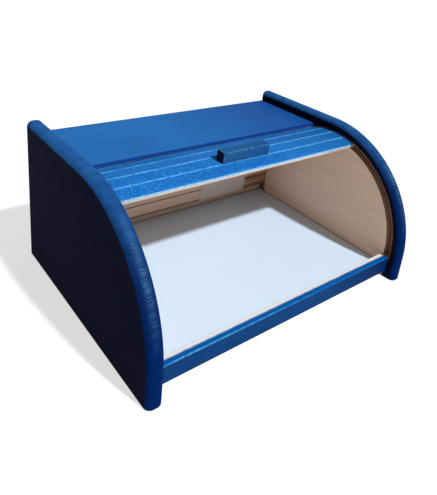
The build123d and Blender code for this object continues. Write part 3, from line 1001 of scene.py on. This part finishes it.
class BREADBIN_OT_tapes(bpy.types.Operator):
    """Adds the two canvas tapes that hold the slats together"""

    bl_idname = "breadbin.tapes"
    bl_label = "Tapes"

    def execute(self, context):
        weave = tape_weave()
        for node in ("tape_left", "tape_right"):
            low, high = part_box(node)
            end_forward = -lying_on_top(node, 1)[0].y + AXIS.y
            glued = SLAT_INNER - 0.02 * MM
            inner = glued - sizes().tape_thickness
            corner = 1 / math.cos(PITCH / 2)
            deselect()
            bpy.ops.mesh.primitive_plane_add(
                size=1, location=((low.x + high.x) / 2, AXIS.y + (inner + glued) / 2 * corner, AXIS.z))
            tape = bpy.context.active_object
            tape.name = tape.data.name = "canvas_" + node
            tape.scale = (high.x - low.x, (glued - inner) * corner, 1)
            settle(tape)
            steps = SLAT_COUNT - 1
            swept(tape, LID_REARMOST, PITCH * steps, steps)
            leading = Vector((0, -math.sin(slat_faces(1)), math.cos(slat_faces(1))))
            run = end_forward + glued * corner * math.sin(PITCH / 2)
            edit(tape, "FACE", lambda face: abs(polar(face.calc_center_median())[1] - FRONT_SLAT_START) < 0.001)
            bpy.ops.mesh.extrude_region_move(TRANSFORM_OT_translate={"value": leading * run})
            leave_edit()
            tidy_mesh(tape)
            unrolled(tape, low.x)
            place(tape, node, LID, "cloth_tape", weave)
        return {"FINISHED"}


def screw_places():
    """Where the two handle screws' axes are, with the handle's slat lying on top."""
    low, high = lying_on_top("handle_screws", 2)
    head = 2 * sizes().screw_radius
    return [(low.x + head, (low.y + high.y) / 2), (high.x - head, (low.y + high.y) / 2)], low.z, high.z


def screw_body(name, x, y, low_z, high_z, ease):
    """A countersunk screw standing on its head."""
    radius = sizes().screw_radius + ease
    deselect()
    bpy.ops.mesh.primitive_cylinder_add(vertices=32, radius=radius, depth=high_z - low_z - sizes().screw_radius,
                                        location=(x, y, (high_z + low_z + sizes().screw_radius) / 2))
    screw = bpy.context.active_object
    screw.name = screw.data.name = name
    settle(screw)
    edit(screw, "FACE", lambda face: face.normal.z < -0.9)
    bpy.ops.mesh.extrude_region_move(TRANSFORM_OT_translate={"value": (0, 0, -sizes().screw_radius)})
    wide = (2 * sizes().screw_radius + ease) / radius
    bpy.ops.transform.resize(value=(wide, wide, 1), center_override=(x, y, low_z))
    leave_edit()
    return screw


def screw_cutters():
    """The screws' holes in the handle and its slat, turned to their place on the lid."""
    places, low_z, high_z = screw_places()
    lean = slat_faces(2) - math.pi / 2
    return [turned(screw_body("cutter", x, y, low_z, high_z, 0.03 * MM), lean) for x, y in places]


class BREADBIN_OT_handle(bpy.types.Operator):
    """Adds the handle block on the second slat"""

    bl_idname = "breadbin.handle"
    bl_label = "Handle"

    def execute(self, context):
        grip = block("handle_block", *lying_on_top("handle", 2))
        foot = AXIS.z + SLAT_OUTER + 0.01 * MM
        round_edges(grip, lambda edge: not all(v.co.z < foot for v in edge.verts), sizes().handle_rounding, 3)
        turned(grip, slat_faces(2) - math.pi / 2)
        cut(grip, *screw_cutters())
        flat_shaded(grip, 40)
        place(grip, "handle", LID, "handle_wood", handle_wood())
        return {"FINISHED"}


class BREADBIN_OT_screws(bpy.types.Operator):
    """Adds the two countersunk screws that hold the handle from inside"""

    bl_idname = "breadbin.screws"
    bl_label = "Screws"

    def execute(self, context):
        places, low_z, high_z = screw_places()
        screws = []
        for x, y in places:
            screw = screw_body("handle_screw", x, y, low_z, high_z - 0.2 * MM, 0.0)
            edit(screw, "FACE", lambda face: face.normal.z > 0.9)
            bpy.ops.mesh.bevel(offset=0.7 * sizes().screw_radius, segments=2, affect="EDGES")
            leave_edit()
            slot_half, slot_wide = 1.1 * sizes().screw_radius, 0.25 * sizes().screw_radius
            reach = Vector((x, y, low_z))
            for half in ((slot_half, slot_wide, 1 * MM), (slot_wide, slot_half, 1 * MM)):
                cut(screw, block("cutter", reach - Vector(half), reach + Vector(half)))
            turned(screw, slat_faces(2) - math.pi / 2)
            soften(screw, 0.08 * MM, 1, 40)
            screws.append(screw)
        activate(screws[0])
        screws[1].select_set(True)
        bpy.ops.object.join()
        pair = bpy.context.active_object
        pair.name = pair.data.name = "handle_screw_pair"
        place(pair, "handle_screws", LID, "screw_steel", plated_steel())
        return {"FINISHED"}


class BREADBIN_OT_dowels(bpy.types.Operator):
    """Gives the hidden dowels their bare wood"""

    bl_idname = "breadbin.dowels"
    bl_label = "Dowels"

    def execute(self, context):
        wood = bare_wood()
        for node in ("front_rail_dowels", "rear_rail_dowels", "top_board_dowels"):
            mesh = frame["nodes"][node].data
            mesh.materials.clear()
            mesh.materials.append(wood)
        return {"FINISHED"}


class BREADBIN_OT_stage(bpy.types.Operator):
    """Adds the camera, the lights and the ground"""

    bl_idname = "breadbin.stage"
    bl_label = "Stage"

    def execute(self, context):
        scene = context.scene
        camera = bpy.data.cameras.new("camera")
        camera.sensor_width = 36
        camera.lens = 38.076
        camera.shift_x = -0.0232
        camera.shift_y = -0.2206
        camera.clip_start = 0.01
        holder = bpy.data.objects.new("camera", camera)
        scene.collection.objects.link(holder)
        azimuth, elevation, roll = math.radians(-41.0), math.radians(20.85), math.radians(6.37)
        back = Vector((math.sin(azimuth) * math.cos(elevation), -math.cos(azimuth) * math.cos(elevation),
                       math.sin(elevation)))
        facing = (-back).to_track_quat("-Z", "Y").to_matrix().to_4x4()
        holder.matrix_world = (Matrix.Translation((-0.3870, -0.4365, 0.4017)) @ facing
                               @ Matrix.Rotation(roll, 4, "Z"))
        scene.camera = holder

        deselect()
        bpy.ops.mesh.primitive_plane_add(size=30, location=(0, 0, CAD_BOX[0].z))
        ground = context.active_object
        ground.name = "ground"
        ground.data.materials.append(ground_paper())

        sun = bpy.data.lights.new("key", "SUN")
        sun.energy = 3.7
        sun.angle = math.radians(3)
        sun.color = (0.89, 0.95, 1.0)
        lamp = bpy.data.objects.new("key", sun)
        scene.collection.objects.link(lamp)
        towards_light = Vector((0.21, -0.776, 1.0))
        lamp.rotation_euler = towards_light.to_track_quat("Z", "Y").to_euler()

        world = bpy.data.worlds.new("studio")
        scene.world = world
        world.use_nodes = True
        world.node_tree.nodes["Background"].inputs["Color"].default_value = (1.0, 0.84, 0.74, 1)
        world.node_tree.nodes["Background"].inputs["Strength"].default_value = 0.30
        scene.view_settings.view_transform = "Standard"
        return {"FINISHED"}


class BREADBIN_PT_pieces(bpy.types.Panel):
    """Lists the steps in the sidebar"""

    bl_label = "Bread bin"
    bl_idname = "BREADBIN_PT_pieces"
    bl_space_type = "VIEW_3D"
    bl_region_type = "UI"
    bl_category = "Bread bin"

    def draw(self, context):
        for group in (context.scene.bread_bin_sizes, context.scene.bread_bin_colours):
            for name in group.bl_rna.properties.keys():
                if name not in ("rna_type", "name"):
                    self.layout.prop(group, name)
        for operator in STEPS:
            self.layout.operator(operator.bl_idname)


STEPS = (
    BREADBIN_OT_stage,
    BREADBIN_OT_side_panels,
    BREADBIN_OT_top_board,
    BREADBIN_OT_rails,
    BREADBIN_OT_thin_panels,
    BREADBIN_OT_slats,
    BREADBIN_OT_tapes,
    BREADBIN_OT_handle,
    BREADBIN_OT_screws,
    BREADBIN_OT_dowels,
)
CLASSES = (BreadBinSizes, BreadBinColours, *STEPS, BREADBIN_PT_pieces)


def register():
    for item in CLASSES:
        bpy.utils.register_class(item)
    bpy.types.Scene.bread_bin_sizes = bpy.props.PointerProperty(type=BreadBinSizes)
    bpy.types.Scene.bread_bin_colours = bpy.props.PointerProperty(type=BreadBinColours)


def unregister():
    del bpy.types.Scene.bread_bin_colours
    del bpy.types.Scene.bread_bin_sizes
    for item in reversed(CLASSES):
        bpy.utils.unregister_class(item)


def main():
    register()
    for operator in STEPS:
        group, name = operator.bl_idname.split(".")
        getattr(getattr(bpy.ops, group), name)()


if __name__ == "__main__":
    main()
